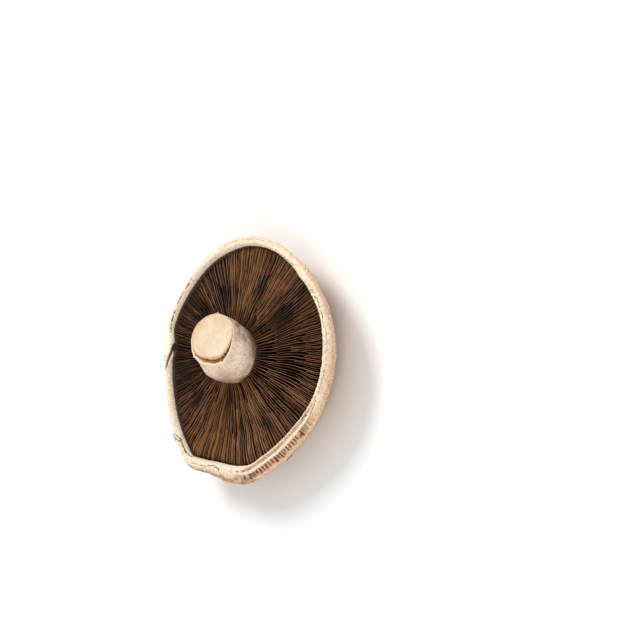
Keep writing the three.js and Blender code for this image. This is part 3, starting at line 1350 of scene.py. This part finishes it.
    def build(self) -> bpy.types.Object:
        """Builds the stem's closed skin.

        Returns:
            The stem.
        """
        sides = self.rings[0]
        smooth = [self.side_ring(i / (sides - 1) * self.same) for i in range(sides)]
        smooth = np.array(smooth + self.top_rings())
        points = self.roughen(smooth)
        masks = self.masks(points)
        foot, top = self.line(np.array(0.0))[:3], smooth[-1].mean(axis=0)
        rings = [foot[None] + self.shift] + [ring + self.shift for ring in points] + [top[None] + self.shift]
        ringed = {label: [v[0, :1]] + list(v) + [v[-1, :1]] for label, v in masks.items()}
        return make_object("stem_with_cut_end", *close_rings(rings, ringed))

    def material(self) -> bpy.types.Material:
        """Makes the stem's material."""
        return StemFinish().make()


class Bruise(NamedTuple):
    """A patch where the blades are pressed down: its place, half length, half width and turn in degrees."""

    x: float
    y: float
    length: float
    width: float
    turn: float


@dataclass
class Gills(Part):
    """The blades that run from the stem's foot to the rim, in three lengths."""

    slot: ClassVar[Slot] = Slot.GILLS
    node: ClassVar[str] = "gills"
    foot: tuple[float, float] = (0.7, 7.4)
    inner_radius: float = 13.6
    blades: int = 336
    stations: int = 44
    edge_height: float = 20.8
    root_height: float = 13.2
    thickness: float = 0.3
    seed: int = 37
    spots: tuple[Bruise, ...] = (
        Bruise(30.5, 27.0, 8.0, 4.2, 36.0), Bruise(34.6, 1.1, 4.5, 3.2, 0.0),
        Bruise(24.3, -20.9, 9.0, 5.5, -48.0), Bruise(-0.2, -34.1, 6.5, 3.2, -90.0),
        Bruise(-23.1, 5.2, 5.0, 2.6, 185.0), Bruise(-26.6, -27.3, 6.5, 3.4, 228.0),
        Bruise(-26.1, 27.3, 5.0, 3.0, 133.0), Bruise(-15.7, 39.3, 5.5, 3.0, 112.0),
        Bruise(20.0, 38.0, 5.0, 2.5, 60.0))

    def __post_init__(self) -> None:
        """Lays the blades' paths out round the stem."""
        self.grain, self.draw = Grain(self.seed), np.random.default_rng(self.seed)
        count = self.blades
        self.angles = (np.arange(count) + self.draw.uniform(-0.22, 0.22, count)) / count * FULL_TURN
        middle, short = self.draw.uniform(0.08, 0.24, count), self.draw.uniform(0.4, 0.66, count)
        self.begin = self.by_length(0.0, middle, short)
        self.share = self.begin + (1 - self.begin) * np.linspace(0.0, 1.0, self.stations) ** 0.9
        self.unit = round_plan(self.angles)
        inner = np.array(self.foot) + self.inner_radius * self.unit
        outer = (self.outline.lip_radius(self.angles) - 0.3)[:, None] * self.unit
        self.path = inner[:, None] + (outer - inner)[:, None] * self.share[..., None]
        self.flat = np.concatenate([self.path, np.zeros_like(self.path[..., :1])], -1)

    def by_length(self, full: Array, middle: Array, short: Array) -> Array:
        """A value for each blade by its length, as one column.

        Args:
            full: the value for the full blades, every fourth one.
            middle: the value for the middle ones, half way between those.
            short: the value for the short ones, between all others.

        Returns:
            The values.
        """
        order = np.arange(self.blades) % 4
        return np.select([order == 0, order == 2], [full, middle], short)[:, None]

    def sway(self) -> Array:
        """How far the blades wander to the side.

        Returns:
            Millimetres, for every blade and station.
        """
        drift = (0.9 * (self.grain.smooth(self.flat, 17.0) - 0.5)
                 + 0.16 * (self.grain.smooth(self.flat + 50.0, 5.5) - 0.5))
        own = self.draw.uniform(0, FULL_TURN, (self.blades, 1))
        return drift + (0.06 * np.sin(self.share * 26.0 + own) + 0.05 * np.sin(self.share * 61.0 + 2.1 * own))

    def top(self, bruise: Array) -> Array:
        """Height of the blades' free edges.

        Args:
            bruise: how far each place is pressed down.

        Returns:
            Millimetres, for every blade and station.
        """
        share = self.share
        uneven = self.grain.smooth(self.flat, 6.0) - 0.5
        top = self.edge_height - 0.7 * np.sin(math.pi * share) + 0.7 * uneven
        top += self.draw.uniform(-0.3, 0.2, (self.blades, 1)) - 0.9 * bruise
        top -= self.by_length(0.0, 0.15, 0.45)
        rise_in = smoothstep(0.0, 0.1, share - self.begin) * 0.85 + 0.15
        rise_out = 0.93 + 0.07 * smoothstep(1.0, 0.96, share)
        return self.root_height + (top - self.root_height) * np.where(self.begin > 0, rise_in, 1.0) * rise_out

    def roots(self) -> Array:
        """Height of the blades' lower edges: just inside the flesh, and up the wall under the lip.

        Returns:
            Millimetres, for every blade and station.
        """
        curve = [self.outline.wall(self.angles, share) for share in np.linspace(1.0, 0.0, 25)]
        rho, height = np.array([c[0] for c in curve]), np.array([c[1] for c in curve])
        reach = np.linalg.norm(self.path, axis=-1)
        rows = [np.interp(reach[i], rho[:, i], height[:, i]) for i in range(self.blades)]
        return np.maximum(np.array(rows) - 0.3, self.root_height)

    def bruises(self) -> Array:
        """Patches where the blades are pressed down and dark.

        Returns:
            Their share, from 0 to 1.
        """
        total = np.zeros(self.path.shape[:-1])
        for spot in self.spots:
            turn = math.radians(spot.turn)
            off = self.path - np.array([spot.x, spot.y])
            along = off[..., 0] * math.cos(turn) + off[..., 1] * math.sin(turn)
            across = -off[..., 0] * math.sin(turn) + off[..., 1] * math.cos(turn)
            total += np.exp(-((along / spot.length) ** 2) - (across / spot.width) ** 2)
        return np.clip(total, 0.0, 1.0)

    def masks(self, bruise: Array) -> Masks:
        """The masks that colour the blades.

        Args:
            bruise: how far each place is pressed down.

        Returns:
            Named values for every blade and station.
        """
        angles, share, grain = self.angles, self.share, self.grain
        row = np.broadcast_to(np.arange(self.blades)[:, None] * 1.9, share.shape)
        streaks = stack(row, share * 11.0, share * 0.0)
        tone_and_shade = (0.45 * grain.fractal(streaks, 1.0, 2) + 0.4 * self.draw.uniform(0, 1, (self.blades, 1))
                + 0.25 * self.by_length(0.62, 0.52, 0.42))
        bundles = stack(np.cos(angles)[:, None] * 9 + 0 * share, np.sin(angles)[:, None] * 9 + 0 * share,
                        share * 2.6)
        sides = np.abs(np.sin(angles))[:, None] ** 2
        # Painted shade: darker towards the sides, most on the left where the rim shades the blades, and a
        # little at 322 and 5 degrees.
        tone_and_shade = tone_and_shade - 0.08 * sides * smoothstep(0.1, 0.6, share) - 0.24 * bump_at(angles, 92.0, 42.0)[:, None]
        tone_and_shade -= 0.12 * bump_at(angles, 322.0, 26.0)[:, None] + 0.05 * bump_at(angles, 5.0, 25.0)[:, None]
        # The warm patches fade towards the sides with the same painted shade, so the top and bottom read
        # lighter.
        warm = (1.0 - 0.7 * sides) * smoothstep(0.42, 0.68, grain.fractal(bundles + 5.0, 1.7, 3))
        return {"tone_and_shade": tone_and_shade, "warm": warm, "bruise": bruise}

    def blade_faces(self, shape: tuple[int, ...]) -> list[list[int]]:
        """The faces that close every blade.

        Args:
            shape: how many blades, stations and points a station there are.

        Returns:
            The faces, as lists of point numbers.
        """
        number = np.arange(np.prod(shape)).reshape(shape)
        here, there = number[:, :-1], number[:, 1:]
        quads = stack(here, there, np.roll(there, -1, axis=2), np.roll(here, -1, axis=2))
        return quads.reshape(-1, 4).tolist() + number[:, 0].tolist() + number[:, -1, ::-1].tolist()

    def build(self) -> bpy.types.Object:
        """Builds every blade as a thin closed solid.

        Returns:
            All blades in one object.
        """
        free = smoothstep(0.0, 0.12, self.share) * smoothstep(1.0, 0.9, self.share)
        drift = self.sway()
        lean = 2.0 * (self.grain.smooth(self.flat + 90.0, 10.0) - 0.5)
        lean = lean + self.draw.uniform(-0.25, 0.25, (self.blades, 1))
        bruise = self.bruises()
        crowding = np.clip(np.linalg.norm(self.path - np.array(self.foot), axis=-1) / 45.0, 0.3, 1.0)
        top = self.top(bruise)
        root = np.minimum(self.roots(), top - 0.3)
        thick = (self.thickness * (0.45 + 0.55 * crowding)
                 * (0.85 + 0.3 * self.grain.smooth(self.flat + 7.0, 2.5)))
        side = stack(-self.unit[:, 1], self.unit[:, 0])[:, None]
        layout = ((-0.7, 0.0, 0.0), (-0.5, 0.95, 0.9), (0.0, 1.0, 1.0), (0.5, 0.95, 0.9), (0.7, 0.0, 0.0))
        columns = []
        for width, height, swing in layout:
            offset = (drift * free * (0.35 + 0.65 * swing) + lean * free * swing * 0.5 * crowding
                      + width * thick)
            spot = self.path + side * offset[..., None]
            columns.append(np.concatenate([spot, (root + (top - root) * height)[..., None]], -1))
        points = np.stack(columns, 2) + self.shift
        shape = points.shape[:3]
        spread = {"up": np.array([swing for _, _, swing in layout])}
        spread |= {label: values[..., None] for label, values in self.masks(bruise).items()}
        masks = {label: np.broadcast_to(values, shape).reshape(-1) for label, values in spread.items()}
        return make_object("gill_blades", points.reshape(-1, 3), self.blade_faces(shape), masks)

    def material(self) -> bpy.types.Material:
        """Makes the gills' material."""
        return GillFinish().make()


# Studio -------------------------------------------------------------------------------


@dataclass(frozen=True)
class Studio:
    """A plain pale floor, soft light and the camera. Lengths in metres."""

    camera_place: tuple[float, float, float] = (0.02744, -0.63992, 0.60414)
    camera_height_angle: float = math.degrees(math.asin(0.70))
    camera_roll: float = 76.0
    lens: float = 100.0
    floor_half: float = 4.0
    floor_drop: float = 0.0002
    floor_colour: Colour = (0.92, 0.92, 0.92)
    lamp_target: tuple[float, float, float] = (0.0, 0.0, 0.02)
    sky_strength: float = 0.6

    def camera(self) -> None:
        """Places the camera."""
        data = bpy.data.cameras.new("camera")
        data.lens = self.lens
        data.sensor_width = 36.0
        data.clip_start = 0.01
        eye = bpy.data.objects.new("camera", data)
        tilt = Matrix.Rotation(math.radians(90.0 - self.camera_height_angle), 4, "X")
        roll = Matrix.Rotation(math.radians(-self.camera_roll), 4, "Z")
        eye.matrix_world = Matrix.Translation(self.camera_place) @ tilt @ roll
        bpy.context.scene.collection.objects.link(eye)
        bpy.context.scene.camera = eye

    def lamp(self, name: str, place: tuple[float, float, float], size: float, power: float,
             tint: Colour) -> None:
        """Adds a soft square light that looks at the mushroom.

        Args:
            name: the lamp's name.
            place: where it hangs.
            size: its side.
            power: its power in watts.
            tint: its colour.
        """
        data = bpy.data.lights.new(name, "AREA")
        data.size = size
        data.energy = power
        data.color = tint
        lamp = bpy.data.objects.new(name, data)
        lamp.location = place
        lamp.rotation_euler = (Vector(self.lamp_target) - Vector(place)).to_track_quat("-Z", "Y").to_euler()
        bpy.context.scene.collection.objects.link(lamp)

    def floor(self) -> None:
        """Builds the floor."""
        half = self.floor_half
        corners = np.array([[-half, -half, 0], [half, -half, 0], [half, half, 0], [-half, half, 0]]) / MM
        floor = make_object("floor", corners, [[0, 1, 2, 3]], {})
        floor.location.z = -self.floor_drop
        floor.data.materials.append(Board("floor").finish(self.floor_colour, 0.9, gloss=0.1))

    def build(self) -> None:
        """Builds the floor, the world's light, the lamps and the camera."""
        self.floor()
        world = bpy.data.worlds.new("world")
        world.use_nodes = True
        backdrop = world.node_tree.nodes["Background"]
        backdrop.inputs["Color"].default_value = (1.0, 1.0, 1.0, 1.0)
        backdrop.inputs["Strength"].default_value = self.sky_strength
        bpy.context.scene.world = world
        self.lamp("key", (0.5, 0.52, 0.8), 0.45, 7.2, (1.0, 0.99, 0.97))
        self.lamp("fill", (-0.5, -0.88, 0.85), 0.6, 5.6, (1.0, 0.995, 0.98))
        self.camera()
        scene = bpy.context.scene
        scene.view_settings.view_transform = "Standard"
        scene.view_settings.look = "None"


def main() -> None:
    """Builds the studio and the mushroom."""
    logging.basicConfig(level=logging.INFO, format="%(message)s")
    Studio().build()
    outline = Outline()
    shift = outline.shift()
    for part in (Cap(outline, shift), Gills(outline, shift), Stem(outline, shift)):
        part.dress()


if __name__ == "__main__":
    main()
